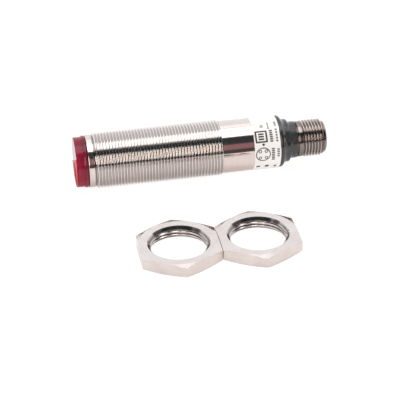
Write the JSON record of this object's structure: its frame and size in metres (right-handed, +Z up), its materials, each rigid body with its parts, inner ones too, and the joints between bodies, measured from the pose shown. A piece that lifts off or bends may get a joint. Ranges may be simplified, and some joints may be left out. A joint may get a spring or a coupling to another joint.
{
  "type": "photoelectric sensor",
  "caption": "Cylindrical photoelectric sensor: fully threaded metal barrel, clear red lens cap, smoke end cap, round threaded plug with contact pins, and loose hexagon mounting nuts.",
  "frame": {"origin": "on the sensor's axis, halfway along the barrel thread", "axes": "+X along the axis from the lens towards the plug, +Z up from the surface that the sensor and its nuts lie on, -Y towards the nuts"},
  "size_m": [0.0821, 0.0689, 0.018],
  "materials": {
    "nickel_plate": "bright nickel plate, slightly warm",
    "nut_nickel": "bright nickel plate, slightly warm",
    "red_lens": "clear red plastic, polished",
    "seal_rubber": "matt",
    "filter_film": "polarising film",
    "clear_lens": "clear, polished",
    "black_moulding": "fine matt",
    "red_led": "clear red epoxy",
    "chip_black": "moulded epoxy",
    "liner_plastic": "natural plastic",
    "board": "green solder mask",
    "tin_plate": "tin plate",
    "tantalum": "moulded epoxy with metal tabs",
    "capacitor_ceramic": "ceramic",
    "green_led": "clear green",
    "yellow_led": "clear yellow",
    "smoke_plastic": "smoke-coloured clear plastic",
    "label_foil": null,
    "plug_nickel": "nickel plate, darker and warmer",
    "gold_plate": "gold plate",
    "brown_wire": "insulation",
    "white_wire": "insulation",
    "blue_wire": "insulation",
    "black_wire": "insulation"
  },
  "bodies": {
    "sensor": {"barrel": "nickel_plate", "lens_cap": "red_lens", "lens_seal": "seal_rubber", "emitter_polariser": "filter_film", "receiver_polariser": "filter_film", "emitter_lens": "clear_lens", "receiver_lens": "clear_lens", "optics_holder": "black_moulding", "emitter_led": "red_led", "receiver_photodiode": "chip_black", "inner_sleeve": "liner_plastic", "main_board": "board", "amplifier_chip": "chip_black", "shield_can": "tin_plate", "control_chip": "chip_black", "voltage_regulator": "chip_black", "output_transistors": "chip_black", "protection_diodes": "chip_black", "filter_capacitor": "tantalum", "chip_capacitors": "capacitor_ceramic", "chip_resistors": "chip_black", "power_led": "green_led", "output_led": "yellow_led", "end_cap": "smoke_plastic", "end_cap_seal": "seal_rubber", "label": "label_foil", "connector_shell": "plug_nickel", "contact_carrier": "black_moulding", "contact_pin_1": "gold_plate", "contact_pin_2": "gold_plate", "contact_pin_3": "gold_plate", "contact_pin_4": "gold_plate", "lead_brown": "brown_wire", "lead_white": "white_wire", "lead_blue": "blue_wire", "lead_black": "black_wire"},
    "nut_1": {"mounting_nut_1": "nut_nickel"},
    "nut_2": {"mounting_nut_2": "nut_nickel"}
  },
  "joints": [
    {"name": "nut_1_lift", "type": "slide", "parent": "sensor", "child": "nut_1", "axis": [0, 0, 1], "range_m": [0, 0.06]},
    {"name": "nut_2_lift", "type": "slide", "parent": "sensor", "child": "nut_2", "axis": [0, 0, 1], "range_m": [0, 0.06]}
  ]
}
